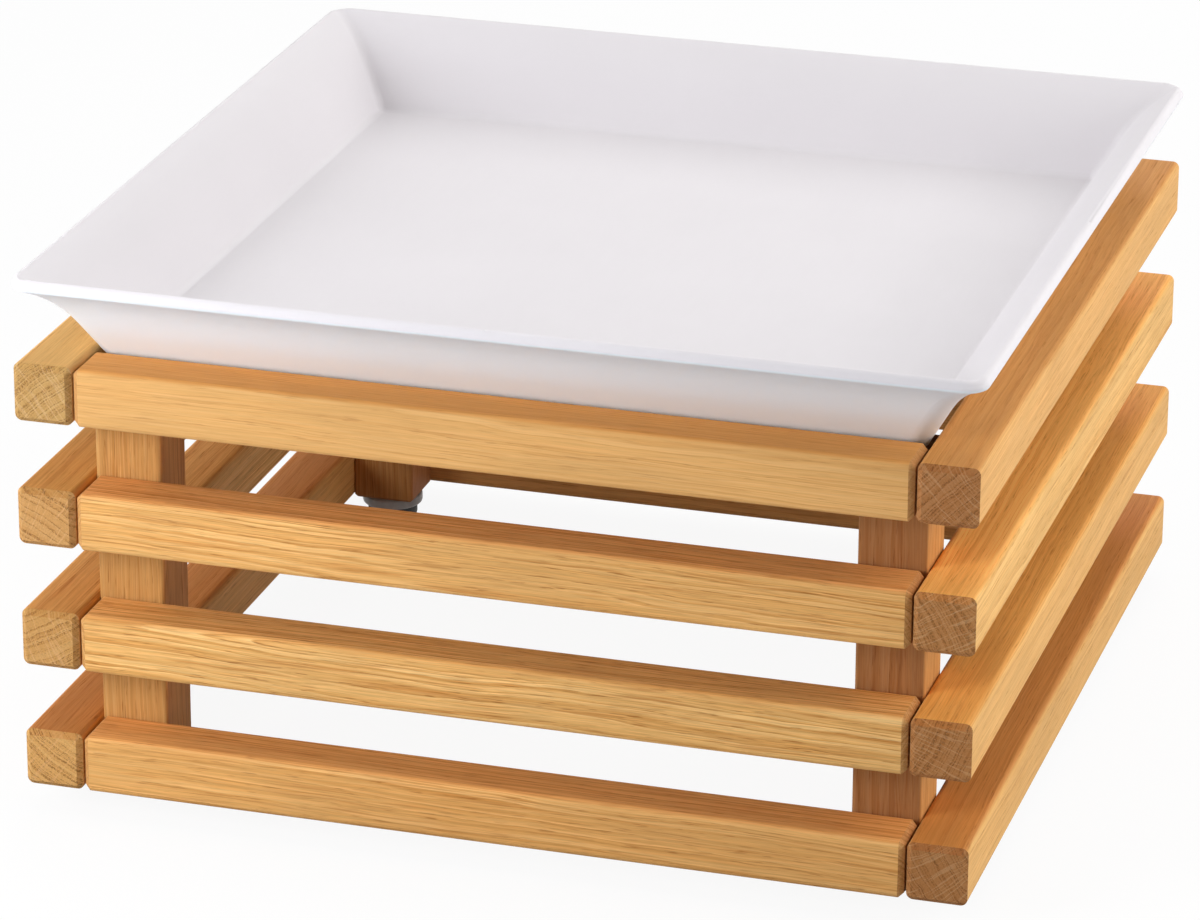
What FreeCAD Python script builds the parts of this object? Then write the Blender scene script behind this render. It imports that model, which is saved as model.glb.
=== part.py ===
"""A square stand of open oak slats with a white flared tray nested in its top.

The origin lies on the ground under the middle of the stand. X runs to the right, Y to the back, Z up.
"""
import FreeCAD, Part
import math
import os
import re
import Sketcher

# Driving sizes: name, value, meaning. Lengths are in millimetres, angles in degrees.
SIZES = [
    ("stand_width", 320, "outside of the slats, left to right"),
    ("stand_depth", 320, "outside of the slats, front to back"),
    ("tier_count", 4, "rows of slats on each side"),
    ("tier_pitch", 43, "from one row of slats to the next"),
    ("slat_side", 20, "square section of a slat"),
    ("slat_edge_round", 2.3, "rounding of a slat's long edges"),
    ("slat_end_bevel", 1.8, "bevel round each end of a slat"),
    ("slat_end_gap", 0.7, "gap between a front slat's end and the side slat beside it"),
    ("post_side", 23, "square section of a corner post"),
    ("post_edge_round", 1.5, "rounding of a post's upright edges"),
    ("post_end_bevel", 1, "bevel round each end of a post"),
    ("dowel_diameter", 5, "glued dowel between a slat and a post"),
    ("dowel_chamfer", 0.7, "bevel at each end of a dowel"),
    ("dowel_clearance", 0.05, "glue gap round a dowel"),
    ("dowel_end_room", 0.5, "hole left beyond each end of a dowel"),
    ("dowel_drop", 2, "how far a dowel lies below the middle of its slat"),
    ("dowel_web", 1.2, "wood left between two dowels, and between a dowel and the foot screw"),
    ("collar_diameter", 22.5, "grey disc under a post"),
    ("collar_height", 4.3, "thickness of that disc"),
    ("collar_edge_round", 1.2, "rounding of the disc's outer rims"),
    ("pad_diameter", 18.5, "rubber pad under the disc"),
    ("pad_height", 4.7, "thickness of the pad"),
    ("pad_edge_round", 1.0, "rounding of the pad's lower rim"),
    ("pad_bore_room", 0.6, "gap round the screw's head in the pad's counterbore"),
    ("pad_bore_cover", 1.4, "how far the screw's head lies above the ground"),
    ("screw_diameter", 3.5, "foot screw"),
    ("screw_length", 26, "from under the head to the tip"),
    ("screw_tip", 4, "cone at the end of the screw"),
    ("screw_head_diameter", 7.5, "pan head"),
    ("screw_head_height", 2, "thickness of the head"),
    ("screw_head_round", 0.6, "rounding of the head's lower rim"),
    ("recess_span", 4, "cross recess in the head, from end to end"),
    ("recess_width", 1, "width of its arms"),
    ("recess_depth", 1.3, "depth of the recess"),
    ("screw_clearance", 0.05, "gap round the screw"),
    ("screw_end_room", 1, "pilot hole left beyond the screw's tip"),
    ("tray_sink", 6, "how far the tray's underside lies below the slat tops"),
    ("tray_clearance", 0.5, "tray wall to slat face, at the height of the slat tops"),
    ("tray_wall", 4.2, "thickness of the tray's walls"),
    ("tray_floor", 4.6, "thickness of the tray's floor"),
    ("tray_lean", 30, "lean of the wall from upright, degrees"),
    ("tray_flare_rise", 11.2, "straight wall above the slat tops, up to the flare"),
    ("tray_flare_radius", 35, "outer face of the flare"),
    ("tray_flare_end", 25, "slope of the flare at the lip, degrees"),
    ("tray_corner", 6.5, "plan radius of the outer corner at the underside"),
    ("tray_corner_growth_share", 0.03, "corner radius gained for each millimetre of flare"),
    ("tray_foot_round", 4, "rounding between underside and wall"),
    ("tray_basin_round", 3, "rounding between floor and wall inside"),
    ("tray_lip_round", 1.4, "rounding of both lip edges"),
    ("cut_overrun", 4, "how far a cutting shape runs past the solid"),
]

# Lengths that several pieces share, written in the driving sizes.
FOOT_HEIGHT = "(collar_height + pad_height)"
POST_HEIGHT = "((tier_count - 1) * tier_pitch + slat_side - tray_sink)"
HALF_SPAN_X = "(stand_width / 2 - slat_side)"
HALF_SPAN_Y = "(stand_depth / 2 - slat_side)"
SCREW_HOLE = "(screw_diameter + 2 * screw_clearance)"
HEAD_LEVEL = "(pad_bore_cover + screw_head_height)"
PILOT_DEPTH = f"({HEAD_LEVEL} + screw_length + screw_end_room - {FOOT_HEIGHT})"
DOWEL_HOLE = "(dowel_diameter + 2 * dowel_clearance)"
DOWEL_LEVEL = "(slat_side / 2 - dowel_drop)"
# A dowel lies between the foot screw and the post's inner face, and stops short of its neighbour.
DOWEL_INSET = f"(post_side / 2 + {SCREW_HOLE} / 2 + dowel_web + {DOWEL_HOLE} / 2)"
DOWEL_DEPTH = f"({DOWEL_INSET} - {DOWEL_HOLE} / 2 - dowel_web)"
DOWEL_LENGTH = f"(2 * ({DOWEL_DEPTH} - dowel_end_room))"

# The shares of the flare's turn at which the tray's cross-section is drawn.
FLARE_TURN_SHARES = [0, 0.25, 0.5, 0.75, 1]

# Each side of the stand, a quarter turn after the one before: its name, its half span and its distance out.
SIDES = [
    ("front", HALF_SPAN_X, HALF_SPAN_Y),
    ("right", HALF_SPAN_Y, HALF_SPAN_X),
    ("back", HALF_SPAN_X, HALF_SPAN_Y),
    ("left", HALF_SPAN_Y, HALF_SPAN_X),
]
OUTWARD = [(0, -1), (1, 0), (0, 1), (-1, 0)]

# Each corner, a quarter turn after the one before: its name and the signs of its X and Y.
CORNERS = [
    ("front_left", -1, -1),
    ("front_right", 1, -1),
    ("back_right", 1, 1),
    ("back_left", -1, 1),
]
QUARTER_TURN = 90
UP = FreeCAD.Vector(0, 0, 1)
AXIS_X, AXIS_Y = -1, -2
# How a sketch counts the points of one of its curves.
START, END, CENTRE = range(1, 4)
SAME_LENGTH = 1e-4

doc = FreeCAD.newDocument("raised_tray")
sheet = doc.addObject("Spreadsheet::Sheet", "Sizes")
for row, (alias, value, meaning) in enumerate(SIZES, start=1):
    sheet.set(f"A{row}", alias)
    sheet.set(f"B{row}", str(value))
    sheet.setAlias(f"B{row}", alias)
    sheet.set(f"C{row}", meaning)
doc.recompute()


def bound(text):
    """The same expression with each sheet name in the form that another object reads."""
    return re.sub(r"\b[a-z]+(?:_[a-z]+)+\b", r"Sizes.\g<0>", text)


def number(text):
    """The present value of an expression in the sheet's names."""
    return float(doc.Sizes.evalExpression(text))


def drive(item, **properties):
    """Binds properties of an object to expressions in the sheet's names."""
    for name, text in properties.items():
        item.setExpression(name, bound(text))


def place(body, across, along, height, turns=0):
    """Turns a body about the vertical by quarter turns and binds its position to the sheet."""
    body.Placement = FreeCAD.Placement(FreeCAD.Vector(), FreeCAD.Rotation(UP, turns * QUARTER_TURN))
    for letter, text in zip("xyz", (across, along, height)):
        body.setExpression(f"Placement.Base.{letter}", bound(text))


def new_body(label, group=False):
    """An empty body, which holds several loose solids if it is a group of like fasteners."""
    body = doc.addObject("PartDesign::Body", label)
    body.Label = label
    body.AllowCompound = group
    return body


def origin_item(body, role):
    """One of the body's own origin planes or axes."""
    return next(item for item in body.Origin.OriginFeatures if item.Role == role)


def new_sketch(body, plane, offset=None):
    """A sketch on one of the body's own origin planes, moved along its normal by an expression."""
    sketch = body.newObject("Sketcher::SketchObject", "Sketch")
    sketch.AttachmentSupport = [(origin_item(body, plane), "")]
    sketch.MapMode = "FlatFace"
    if offset:
        sketch.setExpression("AttachmentOffset.Base.z", bound(offset))
    return sketch


def dimension(sketch, name, text, kind, *where):
    """Adds a dimension to a sketch and binds it to an expression."""
    index = sketch.addConstraint(Sketcher.Constraint(kind, *where, number(text)))
    sketch.renameConstraint(index, name)
    sketch.setExpression(f"Constraints.{name}", bound(text))


def fix_point(sketch, name, geometry, point, across, along):
    """Holds a point of a sketch at a place given by two expressions; "0" puts it on the axis."""
    origin, place_of_point = (AXIS_X, START), (geometry, point)
    for letter, text, axis in (("X", across, AXIS_Y), ("Y", along, AXIS_X)):
        kind = f"Distance{letter}"
        if text == "0":
            sketch.addConstraint(Sketcher.Constraint("PointOnObject", *place_of_point, axis))
        elif number(text) > 0:
            dimension(sketch, name + letter, text, kind, *origin, *place_of_point)
        else:
            dimension(sketch, name + letter, f"-({text})", kind, *place_of_point, *origin)


def add_circle(sketch, name, diameter, across="0", along="0"):
    """A circle with its diameter and centre bound to expressions."""
    middle = FreeCAD.Vector(number(across), number(along), 0)
    circle = sketch.addGeometry(Part.Circle(middle, UP, number(diameter) / 2))
    fix_point(sketch, name, circle, CENTRE, across, along)
    dimension(sketch, name + "Diameter", diameter, "Diameter", circle)


def add_outline(sketch, points):
    """A closed outline of straight lines whose corners are bound to expressions."""
    corners = [FreeCAD.Vector(number(across), number(along), 0) for across, along in points]
    for corner, following in zip(corners, corners[1:] + corners[:1]):
        sketch.addGeometry(Part.LineSegment(corner, following))
    for index, (across, along) in enumerate(points):
        before = (index - 1) % len(points)
        sketch.addConstraint(Sketcher.Constraint("Coincident", before, END, index, START))
        fix_point(sketch, f"corner{index}", index, START, across, along)


def add_rounded_rectangle(sketch, width, depth, corner):
    """A rectangle about the origin with round corners, its three sizes bound to expressions."""
    radius = number(corner)
    across, along = number(width) / 2 - radius, number(depth) / 2 - radius
    middles = [FreeCAD.Vector(x * across, y * along, 0) for x, y in ((-1, -1), (1, -1), (1, 1), (-1, 1))]
    for turns in range(4):
        before, middle = middles[turns], middles[(turns + 1) % 4]
        outward = FreeCAD.Vector(*OUTWARD[turns], 0) * radius
        sketch.addGeometry(Part.LineSegment(before + outward, middle + outward))
        angles = [math.radians((turns + step) * QUARTER_TURN) for step in (-1, 0)]
        sketch.addGeometry(Part.ArcOfCircle(Part.Circle(middle, UP, radius), *angles))
    front, arc, right, back, left = 0, 1, 2, 4, 6
    for index in range(8):
        sketch.addConstraint(Sketcher.Constraint("Tangent", index, END, (index + 1) % 8, START))
    for line, kind in ((front, "Horizontal"), (back, "Horizontal"), (right, "Vertical"), (left, "Vertical")):
        sketch.addConstraint(Sketcher.Constraint(kind, line))
    for other in (right, back, left):
        sketch.addConstraint(Sketcher.Constraint("Equal", arc, other + 1))
    sketch.addConstraint(Sketcher.Constraint("Symmetric", front, START, back, START, AXIS_X, START))
    dimension(sketch, "width", width, "DistanceX", left, START, right, START)
    dimension(sketch, "depth", depth, "DistanceY", front, START, back, START)
    dimension(sketch, "corner", corner, "Radius", arc)


def add_pad(body, sketch, length, symmetric=False):
    """Raises a sketch to a solid, along its normal or to both sides of it."""
    pad = body.newObject("PartDesign::Pad", "Pad")
    pad.Profile = sketch
    pad.SideType = "Symmetric" if symmetric else "One side"
    drive(pad, Length=length)
    doc.recompute()
    return pad


def add_pocket(body, sketch, depth, along_normal=False):
    """Cuts a sketch into the solid and makes sure that the cut has met it."""
    before = body.Shape.Volume
    pocket = body.newObject("PartDesign::Pocket", "Pocket")
    pocket.Profile = sketch
    pocket.Reversed = along_normal
    drive(pocket, Length=depth)
    doc.recompute()
    if not body.Shape.Volume < before:
        raise ValueError(f"the pocket in {body.Label} cuts nothing")
    return pocket


def add_tiers(body, features):
    """Repeats features upwards, once for each row of slats."""
    pattern = body.newObject("PartDesign::LinearPattern", "Tiers")
    pattern.Originals = features
    pattern.Direction = (origin_item(body, "Z_Axis"), [""])
    pattern.Mode = "Spacing"
    drive(pattern, Offset="tier_pitch", Occurrences="tier_count")
    body.Tip = pattern
    doc.recompute()


def dress_edges(body, kind, choose, **sizes):
    """Rounds or bevels the edges of the solid that the given test picks."""
    base = body.Tip
    feature = body.newObject(f"PartDesign::{kind}", kind)
    names = [f"Edge{index}" for index, edge in enumerate(base.Shape.Edges, start=1) if choose(edge)]
    feature.Base = (base, names)
    drive(feature, **sizes)
    doc.recompute()


def same(length, other):
    """Whether two lengths agree."""
    return abs(length - other) < SAME_LENGTH


def level(height):
    """A test that picks the edges that lie flat at one height."""
    return lambda edge: all(same(end, number(height)) for end in (edge.BoundBox.ZMin, edge.BoundBox.ZMax))


def runs_along(axis):
    """A test that picks the straight edges that run along an axis."""
    return lambda edge: same(getattr(edge.BoundBox, f"{axis}Length"), edge.Length)


def lies_across(axis):
    """A test that picks the edges that lie in a plane across an axis."""
    return lambda edge: same(getattr(edge.BoundBox, f"{axis}Length"), 0)


def rim(diameter, height=None):
    """A test that picks the round edges of one diameter, at one height if that is given."""
    def is_rim(edge):
        fits = hasattr(edge.Curve, "Radius") and same(2 * edge.Curve.Radius, number(diameter))
        return fits and (height is None or level(height)(edge))
    return is_rim


def dowel_places(half_span):
    """Where the two dowels of a slat lie along it, one over each post."""
    return [("left", f"-({half_span} - {DOWEL_INSET})"), ("right", f"({half_span} - {DOWEL_INSET})")]


def make_slat(side, turns, half_span, out, tier):
    """A square strip with two blind dowel holes in its inner face; the side strips run the full depth."""
    body = new_body(f"{side}_slat_{tier + 1}")
    end = f"({half_span} - slat_end_gap)" if side in ("front", "back") else f"({half_span} + slat_side)"
    face = new_sketch(body, "XZ_Plane")
    add_outline(face, [(f"-{end}", "0"), (end, "0"), (end, "slat_side"), (f"-{end}", "slat_side")])
    add_pad(body, face, "slat_side")
    dress_edges(body, "Fillet", runs_along("X"), Radius="slat_edge_round")
    dress_edges(body, "Chamfer", lies_across("X"), Size="slat_end_bevel")
    holes = new_sketch(body, "XZ_Plane")
    for name, across in dowel_places(half_span):
        add_circle(holes, name, DOWEL_HOLE, across, DOWEL_LEVEL)
    add_pocket(body, holes, DOWEL_DEPTH, along_normal=True)
    x, y = OUTWARD[turns]
    place(body, f"{x} * {out}", f"{y} * {out}", f"{FOOT_HEIGHT} + {tier} * tier_pitch", turns)
    return body


def make_dowels(side, turns, half_span, out):
    """All the dowels of one side, two for each of its slats, half in the slat and half in the post."""
    body = new_body(f"{side}_dowels", group=True)
    ends = new_sketch(body, "XZ_Plane")
    for name, across in dowel_places(half_span):
        add_circle(ends, name, "dowel_diameter", across, DOWEL_LEVEL)
    add_tiers(body, [add_pad(body, ends, DOWEL_LENGTH, symmetric=True)])
    dress_edges(body, "Chamfer", rim("dowel_diameter"), Size="dowel_chamfer")
    x, y = OUTWARD[turns]
    place(body, f"{x} * {out}", f"{y} * {out}", FOOT_HEIGHT, turns)
    return body


def place_in_corner(body, x, y, height, turns=0):
    """Puts a body on the axis of a corner post."""
    across = f"{x} * ({HALF_SPAN_X} - post_side / 2)"
    along = f"{y} * ({HALF_SPAN_Y} - post_side / 2)"
    place(body, across, along, height, turns)


def make_post(corner, turns, x, y):
    """A corner post with a row of dowel holes in each outer face and a pilot hole for its foot screw."""
    body = new_body(f"{corner}_post")
    half = "post_side / 2"
    section = new_sketch(body, "XY_Plane")
    add_outline(section, [(f"-{half}", f"-{half}"), (half, f"-{half}"), (half, half), (f"-{half}", half)])
    add_pad(body, section, POST_HEIGHT)
    dress_edges(body, "Fillet", runs_along("Z"), Radius="post_edge_round")
    dress_edges(body, "Chamfer", lies_across("Z"), Size="post_end_bevel")
    pilot = new_sketch(body, "XY_Plane")
    add_circle(pilot, "pilot", SCREW_HOLE)
    add_pocket(body, pilot, PILOT_DEPTH, along_normal=True)
    across = f"{DOWEL_INSET} - {half}"
    front_hole = new_sketch(body, "XZ_Plane", half)
    add_circle(front_hole, "dowel", DOWEL_HOLE, across, DOWEL_LEVEL)
    front = add_pocket(body, front_hole, DOWEL_DEPTH)
    side_hole = new_sketch(body, "YZ_Plane", f"-{half}")
    add_circle(side_hole, "dowel", DOWEL_HOLE, across, DOWEL_LEVEL)
    side = add_pocket(body, side_hole, DOWEL_DEPTH, along_normal=True)
    add_tiers(body, [front, side])
    place_in_corner(body, x, y, FOOT_HEIGHT, turns)
    return body


def make_collar(corner, x, y):
    """The grey disc between a post and its pad."""
    body = new_body(f"{corner}_foot_collar")
    ring = new_sketch(body, "XY_Plane")
    add_circle(ring, "outside", "collar_diameter")
    add_circle(ring, "bore", SCREW_HOLE)
    add_pad(body, ring, "collar_height")
    dress_edges(body, "Fillet", rim("collar_diameter"), Radius="collar_edge_round")
    place_in_corner(body, x, y, "pad_height")
    return body


def make_pad(corner, x, y):
    """The rubber pad that stands on the ground, bored from below for the screw's head."""
    body = new_body(f"{corner}_foot_pad")
    ring = new_sketch(body, "XY_Plane")
    add_circle(ring, "outside", "pad_diameter")
    add_circle(ring, "bore", SCREW_HOLE)
    add_pad(body, ring, "pad_height")
    counterbore = new_sketch(body, "XY_Plane")
    add_circle(counterbore, "head", "screw_head_diameter + 2 * pad_bore_room")
    add_pocket(body, counterbore, HEAD_LEVEL, along_normal=True)
    dress_edges(body, "Fillet", rim("pad_diameter", height="0"), Radius="pad_edge_round")
    place_in_corner(body, x, y, "0")
    return body


def cross_points(reach, half):
    """The corners of an upright cross about the origin, from its arms' reach and half width."""
    arm = [(reach, f"-{half}"), (reach, half), (half, half)]
    points = []
    for turns in range(4):
        points += arm
        arm = [(f"-({along})", across) for across, along in arm]
    return points


def make_foot_screws():
    """The four cross-head screws that hold the feet, heads down, as one group."""
    body = new_body("foot_screws", group=True)
    profile = new_sketch(body, "XZ_Plane")
    head, shank, top = "screw_head_diameter / 2", "screw_diameter / 2", "screw_head_height + screw_length"
    add_outline(profile, [("0", "0"), (head, "0"), (head, "screw_head_height"), (shank, "screw_head_height"),
                          (shank, f"{top} - screw_tip"), ("0", top)])
    turned = body.newObject("PartDesign::Revolution", "Screw")
    turned.Profile = profile
    turned.ReferenceAxis = (profile, ["V_Axis"])
    doc.recompute()
    cross = new_sketch(body, "XY_Plane")
    add_outline(cross, cross_points("recess_span / 2", "recess_width / 2"))
    recess = add_pocket(body, cross, "recess_depth", along_normal=True)
    pattern = body.newObject("PartDesign::LinearPattern", "Corners")
    pattern.Originals = [turned, recess]
    pattern.Direction = (origin_item(body, "X_Axis"), [""])
    pattern.Direction2 = (origin_item(body, "Y_Axis"), [""])
    pattern.Mode = "Extent"
    pattern.Mode2 = "Extent"
    pattern.Occurrences = 2
    pattern.Occurrences2 = 2
    drive(pattern, Length=f"2 * {HALF_SPAN_X} - post_side", Length2=f"2 * {HALF_SPAN_Y} - post_side")
    body.Tip = pattern
    doc.recompute()
    dress_edges(body, "Fillet", rim("screw_head_diameter", height="0"), Radius="screw_head_round")
    place_in_corner(body, -1, -1, "pad_bore_cover")
    return body


def flare_point(inward, slope):
    """Growth from the wall line at the slat tops, and height, of a point of the flare.

    inward is its distance from the outer face, slope the angle of the face there.
    """
    radius = f"(tray_flare_radius + {inward})"
    growth = (f"(tray_flare_rise * tan(tray_lean) + tray_flare_radius * cos(tray_lean)"
              f" - {radius} * sin({slope}))")
    height = (f"(tray_sink + tray_flare_rise - tray_flare_radius * sin(tray_lean)"
              f" + {radius} * cos({slope}))")
    return growth, height


def tray_sketch(body, growth, height, inward="0"):
    """A rounded rectangle across the tray at one height; inward thins the corner for an inner face."""
    rounding = f"tray_corner - {inward} + ({growth} + tray_sink * tan(tray_lean)) * tray_corner_growth_share"
    sketch = new_sketch(body, "XY_Plane", height)
    add_rounded_rectangle(sketch, f"2 * ({HALF_SPAN_X} - tray_clearance + {growth})",
                          f"2 * ({HALF_SPAN_Y} - tray_clearance + {growth})", rounding)
    return sketch


def add_loft(body, kind, sketches, ruled=False):
    """Skins a row of sketches, as added or removed material."""
    loft = body.newObject(f"PartDesign::{kind}Loft", kind)
    loft.Profile = sketches[0]
    loft.Sections = sketches[1:]
    loft.Ruled = ruled
    doc.recompute()


def make_tray():
    """The white tray: a flat floor, walls that lean out and flare, and a thin rounded lip."""
    body = new_body("tray")
    wall_slope = f"({QUARTER_TURN} - tray_lean)"
    slopes = [f"({wall_slope} - ({wall_slope} - tray_flare_end) * {share})" for share in FLARE_TURN_SHARES]

    def face_sketches(inward, start):
        """The sketches of one face of the wall, from a height near the floor up to the lip."""
        shift = f"{inward} / cos(tray_lean)"
        foot = (f"(({start} - tray_sink) * tan(tray_lean) - {shift})", start)
        bend = flare_point(inward, slopes[0])
        middle = tuple(f"({low} + {high}) / 2" for low, high in zip(foot, bend))
        points = [foot, middle, bend] + [flare_point(inward, slope) for slope in slopes[1:]]
        return [tray_sketch(body, growth, height, inward) for growth, height in points]

    outer = face_sketches("0", "0")
    add_loft(body, "Additive", outer)
    outer_lip, inner_lip = flare_point("0", slopes[-1]), flare_point("tray_wall", slopes[-1])
    lip_top = flare_point("(tray_wall + cut_overrun * sin(tray_flare_end) / 2)", slopes[-1])
    add_loft(body, "Additive", [outer[-1], tray_sketch(body, *lip_top)], ruled=True)
    growth, height = inner_lip
    growth_beyond = f"({growth} + cut_overrun * cos(tray_flare_end))"
    height_beyond = f"({height} + cut_overrun * sin(tray_flare_end))"
    inner = face_sketches("tray_wall", "tray_floor")
    add_loft(body, "Subtractive", inner + [tray_sketch(body, growth_beyond, height_beyond, "tray_wall")])
    dress_edges(body, "Fillet", level("0"), Radius="tray_foot_round")
    dress_edges(body, "Fillet", level("tray_floor"), Radius="tray_basin_round")
    for _, height in (outer_lip, inner_lip):
        dress_edges(body, "Fillet", level(height), Radius="tray_lip_round")
    place(body, "0", "0", f"{FOOT_HEIGHT} + {POST_HEIGHT}")
    return body


bodies = []
for turns, (side, half_span, out) in enumerate(SIDES):
    bodies += [make_slat(side, turns, half_span, out, tier) for tier in range(round(number("tier_count")))]
    bodies.append(make_dowels(side, turns, half_span, out))
for turns, (corner, x, y) in enumerate(CORNERS):
    bodies.append(make_post(corner, turns, x, y))
    bodies.append(make_collar(corner, x, y))
    bodies.append(make_pad(corner, x, y))
bodies.append(make_foot_screws())
bodies.append(make_tray())
doc.recompute()

for item in doc.Objects:
    if {"Invalid", "Error"} & set(item.State):
        raise ValueError(f"{item.Label} could not be built")
for body in bodies:
    if body.Shape.isNull() or not body.Shape.isValid():
        raise ValueError(f"{body.Label} has no valid shape")

os.makedirs("parts", exist_ok=True)
for body in bodies:
    body.Shape.exportStep(f"parts/{body.Label}.step")
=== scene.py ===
"""Looks of the raised tray stand: oak slats and posts, white tray, rubber feet, studio light and camera."""

import math

import bpy
from mathutils import Matrix, Vector


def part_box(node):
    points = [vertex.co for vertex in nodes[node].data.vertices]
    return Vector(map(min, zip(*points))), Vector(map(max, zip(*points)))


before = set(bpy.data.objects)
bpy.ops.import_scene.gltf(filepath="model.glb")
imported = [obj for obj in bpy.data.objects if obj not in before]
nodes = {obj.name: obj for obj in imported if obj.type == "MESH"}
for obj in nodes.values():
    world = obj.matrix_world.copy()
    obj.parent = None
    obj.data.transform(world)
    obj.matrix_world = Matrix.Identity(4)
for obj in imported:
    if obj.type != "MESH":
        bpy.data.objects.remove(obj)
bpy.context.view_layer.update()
scene = bpy.context.scene

MM = 0.001

CORNERS = ("front_left", "front_right", "back_right", "back_left")
RIGHT, UP = (1.0, 0.0, 0.0), (0.0, 0.0, 1.0)
# Which axis of the frame runs along the grain, as the order that puts it last
ALONG_X, ALONG_Y, ALONG_Z = (1, 2, 0), (2, 0, 1), (0, 1, 2)

# Sockets of the colour kind of the Mix node, which share their names with its other kinds
MIX_FACTOR, MIX_A, MIX_B, MIX_RESULT = 0, 6, 7, 2
# The factor that scales a vector, and the plain number that a vector's length or product gives
SCALE_FACTOR, VECTOR_NUMBER = 3, 1
WHITE = (1.0, 1.0, 1.0, 1.0)
NOISE_MIDDLE = 0.5


def linear(red, green, blue):
    """A colour given as 8-bit screen values, as the renderer's own linear values."""
    def convert(level):
        share = level / 255
        return share / 12.92 if share <= 0.04045 else ((share + 0.055) / 1.055) ** 2.4
    return (convert(red), convert(green), convert(blue), 1.0)


class Wiring:
    """Adds nodes to one node tree. A term is a plain value or another node's output."""

    def __init__(self, tree):
        self.tree = tree

    def feed(self, socket, term):
        if isinstance(term, bpy.types.NodeSocket):
            self.tree.links.new(term, socket)
        else:
            socket.default_value = term

    def add(self, kind, terms=(), **settings):
        made = self.tree.nodes.new("ShaderNode" + kind)
        for name, value in settings.items():
            setattr(made, name, value)
        for key, term in dict(terms).items():
            self.feed(made.inputs[key], term)
        return made

    def calc(self, operation, *terms):
        return self.add("Math", enumerate(terms), operation=operation).outputs[0]

    def product(self, first, *others):
        for other in others:
            first = self.calc("MULTIPLY", first, other)
        return first

    def vector(self, operation, *terms):
        return self.add("VectorMath", enumerate(terms), operation=operation).outputs[0]

    def scaled(self, vector, factor):
        return self.add("VectorMath", {0: vector, SCALE_FACTOR: factor}, operation="SCALE").outputs[0]

    def length(self, vector):
        return self.add("VectorMath", {0: vector}, operation="LENGTH").outputs[VECTOR_NUMBER]

    def dot(self, a, b):
        return self.add("VectorMath", {0: a, 1: b}, operation="DOT_PRODUCT").outputs[VECTOR_NUMBER]

    def split(self, vector):
        return tuple(self.add("SeparateXYZ", {0: vector}).outputs)

    def join(self, x, y, z):
        return self.add("CombineXYZ", {0: x, 1: y, 2: z}).outputs[0]

    def noise(self, point, detail=2.0, roughness=0.5):
        terms = {"Vector": point, "Scale": 1.0, "Detail": detail, "Roughness": roughness}
        return self.add("TexNoise", terms).outputs

    def scaled_noise(self, point, scales, detail=2.0, roughness=0.5):
        """Noise with its own scale along each axis."""
        return self.noise(self.vector("MULTIPLY", point, scales), detail, roughness)

    def remap(self, value, low, high, to_low=0.0, to_high=1.0):
        terms = {"Value": value, "From Min": low, "From Max": high, "To Min": to_low, "To Max": to_high}
        return self.add("MapRange", terms, interpolation_type="SMOOTHSTEP").outputs[0]

    def ramp(self, value, stops):
        made = self.add("ValToRGB", {0: value})
        elements = made.color_ramp.elements
        while len(elements) < len(stops):
            elements.new(1.0)
        for element, (place, colour) in zip(elements, stops):
            element.position, element.color = place, colour
        return made.outputs[0]

    def mix(self, factor, a, b, mode="MIX"):
        terms = {MIX_FACTOR: factor, MIX_A: a, MIX_B: b}
        return self.add("Mix", terms, data_type="RGBA", blend_type=mode).outputs[MIX_RESULT]

    def tint(self, colour, by):
        return self.mix(1.0, colour, by, "MULTIPLY")

    def grey(self, value):
        """A colour of three equal values, to multiply another colour by."""
        return self.add("CombineColor", {0: value, 1: value, 2: value}).outputs[0]


def new_material(name):
    """An empty material, with its wiring and its Principled shader."""
    material = bpy.data.materials.new(name)
    material.use_nodes = True
    material.node_tree.nodes.clear()
    wiring = Wiring(material.node_tree)
    shader = wiring.add("BsdfPrincipled")
    wiring.add("OutputMaterial", {"Surface": shader.outputs[0]})
    return material, wiring, shader


def bump(wiring, shader, height, distance, strength):
    """Feeds a height to the shader's normal. distance is how deep a height of 1 is."""
    terms = {"Height": height, "Distance": distance, "Strength": strength}
    wiring.feed(shader.inputs["Normal"], wiring.add("Bump", terms).outputs[0])


def dress(name, material):
    """Gives a carried-over node its material."""
    mesh = nodes[name].data
    mesh.materials.clear()
    mesh.materials.append(material)


# Oak. Noise scales are in cycles per millimetre, across the grain and along it. Spans are the levels of a noise,
# or the places in a ring, between which a feature fades in. Shares say how much of its colour it gives.

EARLY_WOOD, MID_WOOD = linear(201, 142, 74), linear(221, 167, 98)
LATE_WOOD, PALE_WOOD = linear(230, 179, 110), linear(236, 190, 124)
STREAK, PORE, RAY = linear(186, 117, 51), linear(156, 94, 40), linear(238, 198, 138)
END_WOOD, END_PORE, END_RAY = linear(204, 156, 95), linear(92, 60, 34), linear(214, 174, 126)

# How far the number of a piece moves it through the noises
SEED_STEPS = (31.0, 17.0, 900.0)
# The bends of the trunk, long and short, and how far they push the rings, in millimetres
WANDER_SCALES, WANDER_REACH = (0.05, 0.008), 4.0
RIPPLE_SCALES, RIPPLE_REACH = (0.25, 0.045), 0.8
# Width of a year's ring in millimetres, how quickly the years change, and by how many rings
RING_WIDTH, YEAR_SCALE, YEAR_SPREAD = 2.6, 0.13, 2.2
RING_STOPS = ((0.0, LATE_WOOD), (0.10, EARLY_WOOD), (0.42, MID_WOOD), (0.75, LATE_WOOD), (0.96, PALE_WOOD))
EARLY_SPAN = (0.10, 0.60)
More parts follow.
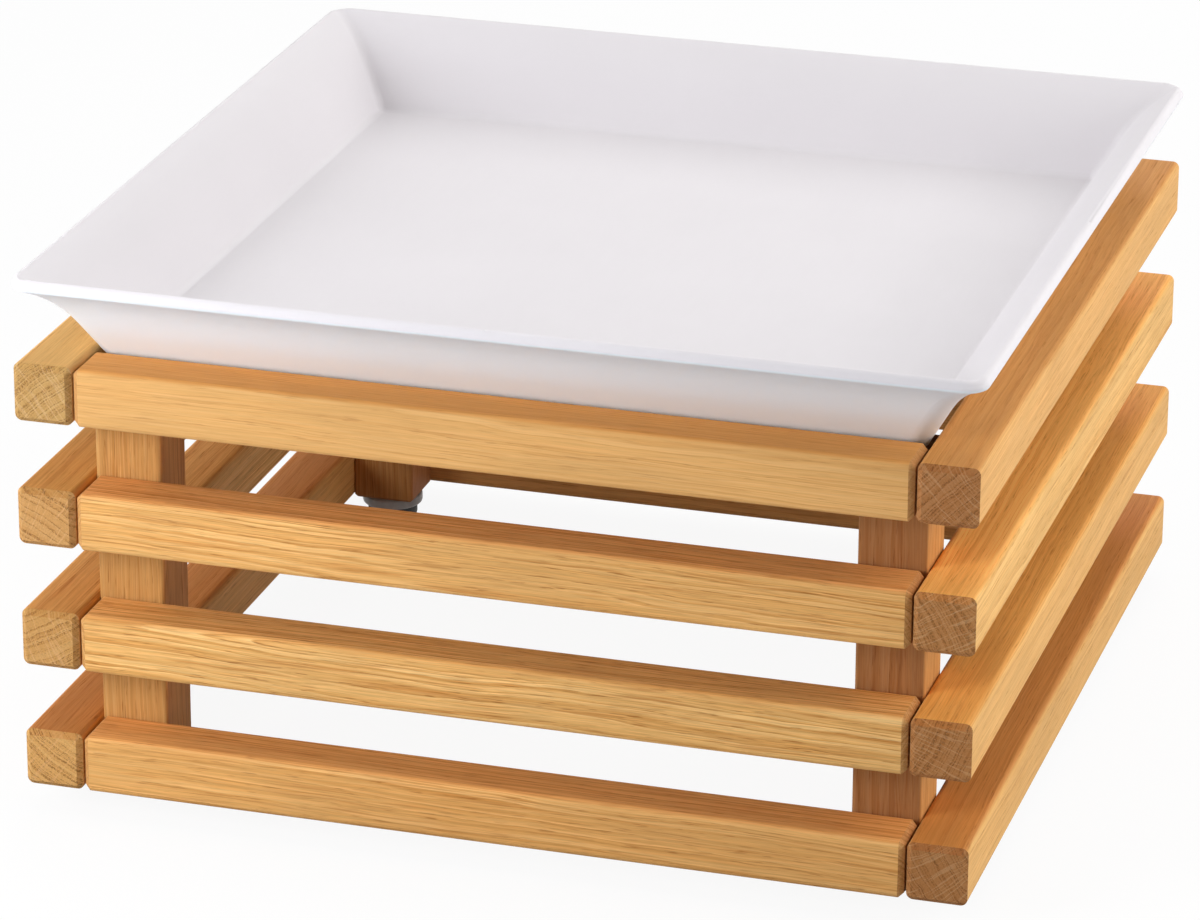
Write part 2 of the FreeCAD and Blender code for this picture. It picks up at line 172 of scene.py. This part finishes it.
# Clouds along the piece, in which the rings show more or less and the tone rises and falls
CLOUD_SCALES = (0.07, 0.012)
RING_STRENGTH = {"low": 0.30, "high": 0.70, "to_low": 0.25, "to_high": 0.75}
CLOUD_TONE = {"low": 0.25, "high": 0.75, "to_low": 0.92, "to_high": 1.07}
STREAK_SCALES, STREAK_SPAN, STREAK_SHARE = (0.85, 0.020), (0.52, 0.72), 0.42
FIBRE_SCALES = (2.6, 0.040)
FIBRE_TONE = {"low": 0.28, "high": 0.72, "to_low": -0.11, "to_high": 0.09}
FIBRE_ROUGHNESS = {"low": 0.3, "high": 0.7, "to_low": 0.62, "to_high": 0.54}
FIBRE_HEIGHT, OPEN_ROUGHNESS = 0.35, 0.18
# Pores, how strongly they show everywhere, and how much more in the early wood
PORE_SCALES, PORE_SPAN, PORE_SHARE = (2.2, 0.11), (0.58, 0.70), 0.50
PORES_EVERYWHERE, PORES_MORE_EARLY = 0.35, 0.65
# Rays, with their scales around the heart, out from it and along the grain
RAY_SCALES, RAY_SPAN, RAY_SHARE, END_RAY_SHARE = (1.5, 0.05, 0.03), (0.53, 0.64), 0.14, 0.33
# Open pores in the end grain, in the same way
DOT_SCALES, DOT_SPAN, DOT_SHARE = (2.2, 0.05), (0.46, 0.60), 0.58
DOTS_EVERYWHERE, DOTS_MORE_EARLY = 0.25, 0.75
# How much the rings show in the end grain, and how square to the grain a face lies where that begins
END_FIGURE_SHARE, END_START = 0.50, 0.45
# Places inside the nearest edge, as negative millimetres, between which its paler tone fades in
EDGE_SPAN, EDGE_SHARE = (-2.4, -0.9), 0.10
OAK_SPECULAR, OAK_RELIEF, OAK_RELIEF_STRENGTH = 0.11, 0.12 * MM, 0.55


def make_oak_group():
    """The figure of oak in millimetres, with the grain along Z."""
    group = bpy.data.node_groups.new("oak_timber", "ShaderNodeTree")
    sockets = (("Point", "Vector"), ("Facing", "Vector"), ("Half", "Vector"), ("Pith", "Vector"),
               ("Seed", "Float"), ("Figure", "Float"), ("End", "Color"), ("End Facing", "Float"))
    for name, kind in sockets:
        group.interface.new_socket(name=name, in_out="INPUT", socket_type="NodeSocket" + kind)
    for name, kind in (("Color", "Color"), ("Roughness", "Float"), ("Height", "Float")):
        group.interface.new_socket(name=name, in_out="OUTPUT", socket_type="NodeSocket" + kind)
    w = Wiring(group)
    given = group.nodes.new("NodeGroupInput").outputs
    result = group.nodes.new("NodeGroupOutput").inputs

    def layer(point, scales, detail=2.0, roughness=0.5):
        """Noise drawn out along the grain."""
        across, along_grain = scales
        return w.scaled_noise(point, (across, across, along_grain), detail, roughness)

    def push(scales, reach, detail=2.0):
        """A bend of the trunk, as a vector to add to a point."""
        centred = w.vector("SUBTRACT", layer(shifted, scales, detail)["Color"], (NOISE_MIDDLE,) * 3)
        return w.scaled(centred, reach)

    seed, contrast = given["Seed"], given["Figure"]
    shift = w.join(*(w.calc("MULTIPLY", seed, step) for step in SEED_STEPS))
    shifted = w.vector("ADD", given["Point"], shift)

    # The trunk isn't straight, so the rings wander a little along the piece
    bend = w.vector("ADD", push(WANDER_SCALES, WANDER_REACH), push(RIPPLE_SCALES, RIPPLE_REACH, detail=1.0))
    x, y, _ = w.split(w.vector("ADD", given["Point"], bend))
    along = w.split(given["Point"])[2]
    pith_x, pith_y, lean = w.split(given["Pith"])
    from_pith_x = w.calc("ADD", w.calc("SUBTRACT", x, pith_x), w.calc("MULTIPLY", along, lean))
    from_pith_y = w.calc("SUBTRACT", y, pith_y)
    radius = w.length(w.join(from_pith_x, from_pith_y, 0.0))

    # Years of faster and slower growth
    year_place = w.calc("MULTIPLY_ADD", radius, YEAR_SCALE, seed)
    year = w.add("TexNoise", {"W": year_place, "Detail": 1.0}, noise_dimensions="1D").outputs[0]
    rings_out = w.calc("DIVIDE", radius, RING_WIDTH)
    phase = w.calc("MULTIPLY_ADD", w.calc("SUBTRACT", year, NOISE_MIDDLE), YEAR_SPREAD, rings_out)
    ring = w.calc("FRACT", phase)
    figure = w.ramp(ring, RING_STOPS)
    early = w.calc("SUBTRACT", 1.0, w.remap(ring, *EARLY_SPAN))

    # How strongly the rings show changes along the piece
    cloud = layer(shifted, CLOUD_SCALES)[0]
    wood = w.mix(w.product(w.remap(cloud, **RING_STRENGTH), contrast), LATE_WOOD, figure)

    # Streaks of a few centimetres, and fine fibres
    with_bend = w.vector("ADD", shifted, bend)
    streak = w.remap(layer(with_bend, STREAK_SCALES, detail=2.5, roughness=0.6)[0], *STREAK_SPAN)
    wood = w.mix(w.product(streak, STREAK_SHARE, contrast), wood, STREAK)
    fibre = layer(with_bend, FIBRE_SCALES, detail=3.0, roughness=0.65)[0]
    fibre_tone = w.calc("MULTIPLY_ADD", w.remap(fibre, **FIBRE_TONE), contrast, 1.0)
    wood = w.tint(wood, w.grey(w.product(fibre_tone, w.remap(cloud, **CLOUD_TONE))))

    # Pores: short dark dashes along the grain, most of them in the early wood
    pore = w.remap(layer(with_bend, PORE_SCALES, detail=1.5, roughness=0.55)[0], *PORE_SPAN)
    pore = w.product(pore, w.calc("MULTIPLY_ADD", early, PORES_MORE_EARLY, PORES_EVERYWHERE))
    wood = w.mix(w.product(pore, PORE_SHARE, contrast), wood, PORE)

    # Rays: thin sheets that stand on the rings
    around = w.product(w.calc("ARCTAN2", from_pith_y, from_pith_x), w.length(given["Pith"]))
    ray_point = w.vector("MULTIPLY", w.join(around, radius, along), RAY_SCALES)
    ray_point = w.vector("ADD", ray_point, w.join(seed, seed, seed))
    ray = w.remap(w.noise(ray_point, roughness=0.6)[0], *RAY_SPAN)
    wood = w.mix(w.product(ray, RAY_SHARE), wood, RAY)

    # End grain drinks in more of the finish: dark rings of open pores, crossed by pale rays
    end = w.remap(w.calc("ABSOLUTE", w.split(given["Facing"])[2]), END_START, given["End Facing"])
    end_wood = w.tint(w.mix(END_FIGURE_SHARE, END_WOOD, figure), given["End"])
    dot = w.remap(layer(shifted, DOT_SCALES, detail=1.0)[0], *DOT_SPAN)
    dot = w.product(dot, w.calc("MULTIPLY_ADD", early, DOTS_MORE_EARLY, DOTS_EVERYWHERE))
    end_wood = w.mix(w.product(dot, DOT_SHARE), end_wood, END_PORE)
    end_wood = w.mix(w.product(ray, END_RAY_SHARE), end_wood, END_RAY)
    wood = w.mix(end, wood, end_wood)

    # Rounded edges are sanded a little paler
    inside = w.vector("SUBTRACT", w.vector("ABSOLUTE", given["Point"]), given["Half"])
    a, b, c = w.split(inside)
    nearest_edge = w.calc("MAXIMUM", w.calc("MINIMUM", a, b), w.calc("MINIMUM", w.calc("MAXIMUM", a, b), c))
    edge = w.product(w.remap(nearest_edge, *EDGE_SPAN), EDGE_SHARE, w.calc("SUBTRACT", 1.0, end))
    wood = w.mix(edge, wood, PALE_WOOD)

    w.feed(result["Color"], wood)
    opened = w.calc("MAXIMUM", pore, end)
    roughness = w.calc("MULTIPLY_ADD", opened, OPEN_ROUGHNESS, w.remap(fibre, **FIBRE_ROUGHNESS))
    w.feed(result["Roughness"], roughness)
    hollow = w.calc("MAXIMUM", pore, w.product(dot, end))
    w.feed(result["Height"], w.calc("SUBTRACT", w.product(fibre, FIBRE_HEIGHT), hollow))
    return group


oak_group = make_oak_group()
# How squarely a face looks along the direction of the painted light and shade before it has that tint, from none
# to all
PAINTED_FACE_SPAN = (0.45, 0.95)


def oak(name, order, given, tint, painted_face, painted_tint):
    """The oak of one piece.

    order tells which axis its grain follows, and given holds the rest of what the figure needs: Pith, where its
    tree's heart lies and how much that leans; Seed; Figure, how strongly the grain shows; End, the shade of its
    end grain; End Facing, how square to the grain a face lies where that shade is full. The faces that look along
    a second direction also take a second tint, of painted light and shade, as well as the piece's own tint.
    """
    low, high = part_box(name)
    middle, half = (low + high) / 2, (high - low) / 2
    material, w, shader = new_material("oak_" + name)
    coordinates = w.add("TexCoord").outputs
    point = w.scaled(w.vector("SUBTRACT", coordinates["Object"], tuple(middle)), 1 / MM)

    def turned(vector):
        parts = w.split(vector)
        return w.join(*(parts[axis] for axis in order))

    timber = w.add("Group", node_tree=oak_group)
    w.feed(timber.inputs["Point"], turned(point))
    w.feed(timber.inputs["Facing"], turned(coordinates["Normal"]))
    w.feed(timber.inputs["Half"], tuple(half[axis] / MM for axis in order))
    for socket, value in given.items():
        w.feed(timber.inputs[socket], value)
    other = w.remap(w.dot(coordinates["Normal"], painted_face), *PAINTED_FACE_SPAN)
    tinted = w.tint(timber.outputs["Color"], (*tint, 1.0))
    w.feed(shader.inputs["Base Color"], w.mix(other, tinted, w.tint(tinted, (*painted_tint, 1.0))))
    w.feed(shader.inputs["Roughness"], timber.outputs["Roughness"])
    shader.inputs["Specular IOR Level"].default_value = OAK_SPECULAR
    bump(w, shader, timber.outputs["Height"], OAK_RELIEF, OAK_RELIEF_STRENGTH)
    dress(name, material)


# Each side's grain, and its slats from the lowest tier up: how strongly the grain shows, and the tints
TIERS = 4
SLAT_ORDER = {"front": ALONG_X, "back": ALONG_X, "left": ALONG_Y, "right": ALONG_Y}
SLAT_FIGURE = {"front": (1.15, 1.55, 1.35, 0.60), "back": (1.0, 0.8, 1.2, 0.9),
               "left": (0.9, 1.1, 0.8, 0.7), "right": (0.70, 0.75, 0.85, 0.60)}
# Each strip's own tone, with painted light on the top left slat, which is tinted paler where light falls on its
# top
SLAT_TINTS = {"front": ((1.05, 1.00, 0.95), (1.06, 1.08, 1.08), (1.01, 0.97, 0.92), (0.96, 0.93, 0.93)),
              "back": ((0.98, 0.84, 0.80), (1.01, 0.95, 0.91), (0.96, 0.90, 0.86), (1.00, 0.96, 0.93)),
              "left": ((1.07, 0.97, 0.90), (1.10, 1.04, 1.03), (1.10, 1.04, 1.02), (1.05, 1.11, 1.16)),
              "right": ((0.99, 0.98, 0.94), (1.01, 0.99, 0.94), (1.08, 1.10, 1.06), (1.01, 0.98, 0.96))}
# Painted light and shade on the upper faces: each strip's upper faces are darkened where the slats and tray above
# shade them, and lightened where light falls on them
TOP_FACE_PAINTED_LIGHT_AND_SHADE = {"front": ((1.00, 0.85, 0.78), (1.02, 0.90, 0.82), (1.08, 0.92, 0.88), (0.95, 0.77, 0.58)),
               "back": ((0.93, 0.80, 0.66),) * TIERS,
               "left": ((0.67, 0.50, 0.37), (0.75, 0.64, 0.47), (0.73, 0.64, 0.45), (1.02, 0.97, 0.88)),
               "right": ((0.80, 0.57, 0.40), (1.06, 0.88, 0.62), (1.19, 1.01, 0.77), (0.83, 0.67, 0.51))}
END_SHADE = (0.65, 0.52, 0.53)
# The left slats' end grain is painted paler than the other ends, as painted light from the lamps on the left
LEFT_END_SHADES_WITH_PAINTED_LIGHT = ((0.87, 0.94, 0.95), (0.72, 0.73, 0.68), (0.74, 0.74, 0.74), (0.73, 0.73, 0.70))
SLAT_ENDS = {"front": (END_SHADE,) * TIERS, "back": (END_SHADE,) * TIERS,
             "left": LEFT_END_SHADES_WITH_PAINTED_LIGHT, "right": (END_SHADE,) * TIERS}
# The end grain reaches over the bevels of the side slats, and shows less on those of the other pieces; on the
# side slats' bevels its darker tone is partly end grain and partly painted shade
OVER_BEVEL, SHORT_OF_BEVEL = 0.72, 0.98
END_FACING = {"front": SHORT_OF_BEVEL, "back": SHORT_OF_BEVEL, "left": OVER_BEVEL, "right": OVER_BEVEL}
# The strips are sawn with their rings slanting through the section, so each face has straight grain. The heart of
# the tree lies at a diagonal, give or take the spread, about as far away as the reach, and leans a little. The
# steps deal these out over the strips in mixed order.
PITH_REACH, PITH_SPREAD, PITH_LEAN = 95.0, 0.35, 0.014
NEAREST_SHARE, REACH_SHARES, REACH_KINDS, REACH_STEP = 0.7, 0.6, 7, 5
DIAGONAL, QUARTER_TURN, TURN_KINDS, TURN_STEP = 45, 90, 4, 7
SPREAD_STEP, LEAN_STEP, SLAT_SEED = 2.3, 3.1, 1.7

for side_number, (side, order) in enumerate(SLAT_ORDER.items()):
    for tier in range(TIERS):
        number = side_number * TIERS + tier
        diagonal = math.radians(DIAGONAL + QUARTER_TURN * (number * TURN_STEP % TURN_KINDS))
        turn = diagonal + PITH_SPREAD * math.sin(SPREAD_STEP * number)
        reach = PITH_REACH * (NEAREST_SHARE + REACH_SHARES * (number * REACH_STEP % REACH_KINDS) / REACH_KINDS)
        pith = (reach * math.cos(turn), reach * math.sin(turn), PITH_LEAN * math.cos(LEAN_STEP * number))
        given = {"Pith": pith, "Seed": SLAT_SEED + number, "Figure": SLAT_FIGURE[side][tier],
                 "End": (*SLAT_ENDS[side][tier], 1.0), "End Facing": END_FACING[side]}
        oak(f"{side}_slat_{tier + 1}", order, given, SLAT_TINTS[side][tier], UP, TOP_FACE_PAINTED_LIGHT_AND_SHADE[side][tier])

# Each post's own tone, darkened as painted shade, the front right post most, since its front face lies in shade
POST_TONE_AND_PAINTED_SHADE = ((0.74, 0.69, 0.63), (0.49, 0.39, 0.40), (0.66, 0.54, 0.48), (0.62, 0.49, 0.43))
# Painted light on the right faces of the posts, which are lightened where light from the right falls on them
RIGHT_FACE_PAINTED_LIGHT = ((1.30, 1.15, 1.10), (1.70, 1.85, 1.65), (1.25, 1.25, 1.25), (1.15, 1.10, 1.30))
POST_PITH_REACH, POST_PITH_LEAN, POST_TURN_STEP, POST_FIRST_TURN = 48.0, 0.01, 1.9, 0.4
POST_SEED, POST_FIGURE = 40.3, 1.0
for number, corner in enumerate(CORNERS):
    turn = POST_TURN_STEP * number + POST_FIRST_TURN
    pith = (POST_PITH_REACH * math.cos(turn), POST_PITH_REACH * math.sin(turn), POST_PITH_LEAN)
    given = {"Pith": pith, "Seed": POST_SEED + number, "Figure": POST_FIGURE,
             "End": (*END_SHADE, 1.0), "End Facing": SHORT_OF_BEVEL}
    oak(corner + "_post", ALONG_Z, given, POST_TONE_AND_PAINTED_SHADE[number], RIGHT, RIGHT_FACE_PAINTED_LIGHT[number])


# Tray, feet and fasteners. Noise scales are in cycles per millimetre along X, Y and Z.

TRAY_CLOUD_SCALES, TRAY_RUB_SCALES, TRAY_PEEL_SCALES = (0.018,) * 3, (0.35, 0.05, 0.35), (0.12,) * 3
TRAY_INSIDE = ((0.3, (0.795, 0.762, 0.780, 1.0)), (0.7, (0.812, 0.778, 0.796, 1.0)))
# The outside is painted cooler than the inside, as painted light against the warm light that the oak throws on
# the tray
TRAY_PAINTED_COOL_OUTSIDE = ((0.3, (0.803, 0.838, 0.868, 1.0)), (0.7, (0.818, 0.852, 0.882, 1.0)))
# Downward faces are the outside. The upward part of the normal tells them, and these are its limits
PAINTED_COOL_SPAN = {"low": -0.35, "high": 0.10, "to_low": 1.0, "to_high": 0.0}
TRAY_ROUGHNESS = {"low": 0.35, "high": 0.70, "to_low": 0.47, "to_high": 0.54}
TRAY_SPECULAR, TRAY_RELIEF, TRAY_RELIEF_STRENGTH = 0.20, 0.02 * MM, 0.25
# From hollows to peaks of a grain's noise
GRAIN_SPAN = (0.3, 0.7)


def make_white():
    """Satin white melamine, with the faintest clouding and fine rub marks; the outside is painted cooler, as
    painted light.
    """
    material, w, shader = new_material("white_melamine")
    coordinates = w.add("TexCoord").outputs
    point = w.scaled(coordinates["Object"], 1 / MM)
    cloud = w.scaled_noise(point, TRAY_CLOUD_SCALES, detail=3.0)[0]
    rub = w.scaled_noise(point, TRAY_RUB_SCALES, detail=3.0, roughness=0.6)[0]
    peel = w.scaled_noise(point, TRAY_PEEL_SCALES, detail=1.0)[0]
    outside = w.remap(w.split(coordinates["Normal"])[2], **PAINTED_COOL_SPAN)
    w.feed(shader.inputs["Base Color"], w.mix(outside, w.ramp(cloud, TRAY_INSIDE), w.ramp(cloud, TRAY_PAINTED_COOL_OUTSIDE)))
    w.feed(shader.inputs["Roughness"], w.remap(rub, **TRAY_ROUGHNESS))
    shader.inputs["Specular IOR Level"].default_value = TRAY_SPECULAR
    bump(w, shader, peel, TRAY_RELIEF, TRAY_RELIEF_STRENGTH)
    return material


def make_finish(name, tone, colours, grain, gloss, relief, metallic=0.0):
    """A finish whose colour follows one noise, and whose roughness and relief follow another.

    tone and grain are the scales, detail and roughness of these noises. gloss holds the roughness in the hollows
    and on the peaks of the grain, and relief its depth and strength.
    """
    material, w, shader = new_material(name)
    point = w.scaled(w.add("TexCoord").outputs["Object"], 1 / MM)
    grain_noise = w.scaled_noise(point, *grain)[0]
    w.feed(shader.inputs["Base Color"], w.ramp(w.scaled_noise(point, *tone)[0], colours))
    w.feed(shader.inputs["Roughness"], w.remap(grain_noise, *GRAIN_SPAN, *gloss))
    shader.inputs["Metallic"].default_value = metallic
    bump(w, shader, grain_noise, *relief)
    return material


# Frosted grey moulded plastic with a fine spark-eroded texture
grey_plastic = make_finish("grey_plastic", tone=((0.25,) * 3, 2.0, 0.5),
                           colours=((0.3, linear(150, 146, 144)), (0.7, linear(176, 172, 170))),
                           grain=((3.2,) * 3, 3.0, 0.5), gloss=(0.38, 0.55), relief=(0.05 * MM, 0.5))
# Black rubber, dull and faintly dusty
rubber = make_finish("black_rubber", tone=((0.4,) * 3, 3.0, 0.5),
                     colours=((0.35, linear(38, 39, 37)), (0.75, linear(62, 62, 59))),
                     grain=((2.4,) * 3, 4.0, 0.65), gloss=(0.62, 0.82), relief=(0.08 * MM, 0.6))
# Zinc-plated steel with turning marks and a slight yellow-blue bloom
steel = make_finish("zinc_steel", tone=((0.5,) * 3, 2.0, 0.5),
                    colours=((0.3, linear(176, 178, 186)), (0.7, linear(206, 202, 190))),
                    grain=((0.6, 0.6, 14.0), 2.0, 0.5), gloss=(0.28, 0.42), relief=(0.02 * MM, 0.4), metallic=1.0)
# Beech: pale pinkish wood with short darker flecks
BEECH_FLECK = ((1.6,) * 3, 3.0, 0.7)
beech = make_finish("beech_dowel", tone=BEECH_FLECK,
                    colours=((0.35, linear(190, 144, 100)), (0.65, linear(222, 180, 134))),
                    grain=BEECH_FLECK, gloss=(0.5, 0.65), relief=(0.05 * MM, 0.4))

dress("tray", make_white())
dress("foot_screws", steel)
for side in SLAT_ORDER:
    dress(side + "_dowels", beech)
for corner in CORNERS:
    dress(corner + "_foot_collar", grey_plastic)
    dress(corner + "_foot_pad", rubber)


# Floor, light and camera

FLOOR_HALF, FLOOR_LEVEL = 6.0, -0.0002
SEEN_WHITE_SHARE, SEEN_FLOOR = 0.92, (0.95, 0.95, 0.95, 1.0)
# What the floor throws back on the object, under the stand and clear of it, and where one turns into the other
UNDER_FLOOR, CLEAR_FLOOR = (0.30, 0.26, 0.23, 1.0), (0.54, 0.56, 0.59, 1.0)
UNDER_REACH, CLEAR_REACH = 0.15, 0.30
WORLD_LIGHT = 0.05

MIDDLE, LEFT_CORNER = (0.0, 0.0, 0.09), (-0.10, -0.10, 0.09)
NEUTRAL, COOL, WARM = (1.0, 1.0, 1.0), (1.0, 1.02, 1.06), (1.0, 0.97, 0.98)
# Name, place, aim, size, power and colour of each softbox
LAMPS = (
    ("key_box", (-0.46, -0.65, 0.35), LEFT_CORNER, 0.36, 4.5, COOL),
    ("left_box", (-1.5, 0.1, 1.1), MIDDLE, 1.0, 7.5, NEUTRAL),
    ("front_fill", (0.0, -1.8, 0.3), MIDDLE, 0.8, 1.9, WARM),
    ("right_box", (1.15, -0.15, 0.34), MIDDLE, 0.75, 5.6, NEUTRAL),
    ("right_high_box", (1.4, 0.3, 1.15), MIDDLE, 0.9, 9.5, NEUTRAL),
    ("right_back_box", (1.3, 1.3, 0.65), MIDDLE, 0.9, 4.0, NEUTRAL),
    ("top_box", (0.0, 0.1, 2.2), MIDDLE, 1.6, 9.5, NEUTRAL),
    ("back_box", (0.0, 1.7, 1.5), MIDDLE, 1.4, 16.0, NEUTRAL),
)

# The photograph's view: a long lens from the front right, looking down
SENSOR_WIDTH, LENS = 36.0, 167.197
CAMERA_PLACE = (0.50040, -1.72270, 0.78264)
CAMERA_RIGHT = (0.958353, 0.285540, 0.005161)
CAMERA_UP = (-0.108289, 0.346607, 0.931739)
CAMERA_BACK = (0.264259, -0.893493, 0.363093)
CLIP_START, CLIP_END = 0.05, 50.0


def seen_share(w):
    """1 for rays from the camera, and for what gloss and glass show; 0 for the light that falls on the object."""
    path = w.add("LightPath").outputs
    gloss_or_glass = w.calc("MAXIMUM", path["Is Glossy Ray"], path["Is Transmission Ray"])
    return w.calc("MAXIMUM", path["Is Camera Ray"], gloss_or_glass)


def make_floor():
    """A pale floor that keeps a soft shadow."""
    mesh = bpy.data.meshes.new("floor")
    signs = ((-1, -1), (1, -1), (1, 1), (-1, 1))
    corners = [(x * FLOOR_HALF, y * FLOOR_HALF, FLOOR_LEVEL) for x, y in signs]
    mesh.from_pydata(corners, [], [range(len(corners))])
    floor = bpy.data.objects.new("floor", mesh)
    scene.collection.objects.link(floor)
    material = bpy.data.materials.new("pale_floor")
    material.use_nodes = True
    material.node_tree.nodes.clear()
    w = Wiring(material.node_tree)
    seen = seen_share(w)
    from_middle = w.length(w.add("TexCoord").outputs["Object"])
    bounce = w.mix(w.remap(from_middle, UNDER_REACH, CLEAR_REACH), UNDER_FLOOR, CLEAR_FLOOR)
    lit = w.add("BsdfDiffuse", {"Color": w.mix(seen, bounce, SEEN_FLOOR)}).outputs[0]
    white = w.add("Emission", {"Color": WHITE, "Strength": 1.0}).outputs[0]
    share = w.product(seen, SEEN_WHITE_SHARE)
    w.add("OutputMaterial", {"Surface": w.add("MixShader", {0: share, 1: lit, 2: white}).outputs[0]})
    mesh.materials.append(material)


def make_world():
    """Weak, even light from all round, with a background that is seen as white."""
    world = bpy.data.worlds.new("studio")
    scene.world = world
    world.use_nodes = True
    world.node_tree.nodes.clear()
    w = Wiring(world.node_tree)
    level = w.calc("MAXIMUM", seen_share(w), WORLD_LIGHT)
    background = w.add("Background", {"Color": WHITE, "Strength": level})
    w.add("OutputWorld", {"Surface": background.outputs[0]})


def add_lamp(name, place, aim, size, power, colour):
    """A square softbox that faces a point."""
    lamp = bpy.data.lights.new(name, "AREA")
    lamp.shape, lamp.size, lamp.energy, lamp.color = "SQUARE", size, power, colour
    holder = bpy.data.objects.new(name, lamp)
    holder.location = place
    holder.rotation_mode = "QUATERNION"
    holder.rotation_quaternion = (Vector(aim) - Vector(place)).to_track_quat("-Z", "Y")
    holder.visible_camera = False
    scene.collection.objects.link(holder)


def make_camera():
    """A camera at the photograph's viewing angle."""
    camera = bpy.data.cameras.new("camera")
    camera.sensor_fit, camera.sensor_width, camera.lens = "HORIZONTAL", SENSOR_WIDTH, LENS
    camera.clip_start, camera.clip_end = CLIP_START, CLIP_END
    holder = bpy.data.objects.new("camera", camera)
    turn = Matrix((CAMERA_RIGHT, CAMERA_UP, CAMERA_BACK)).transposed().to_4x4()
    holder.matrix_world = Matrix.Translation(CAMERA_PLACE) @ turn
    scene.collection.objects.link(holder)
    scene.camera = holder


make_floor()
make_world()
for lamp_row in LAMPS:
    add_lamp(*lamp_row)
make_camera()
scene.view_settings.view_transform = "Standard"
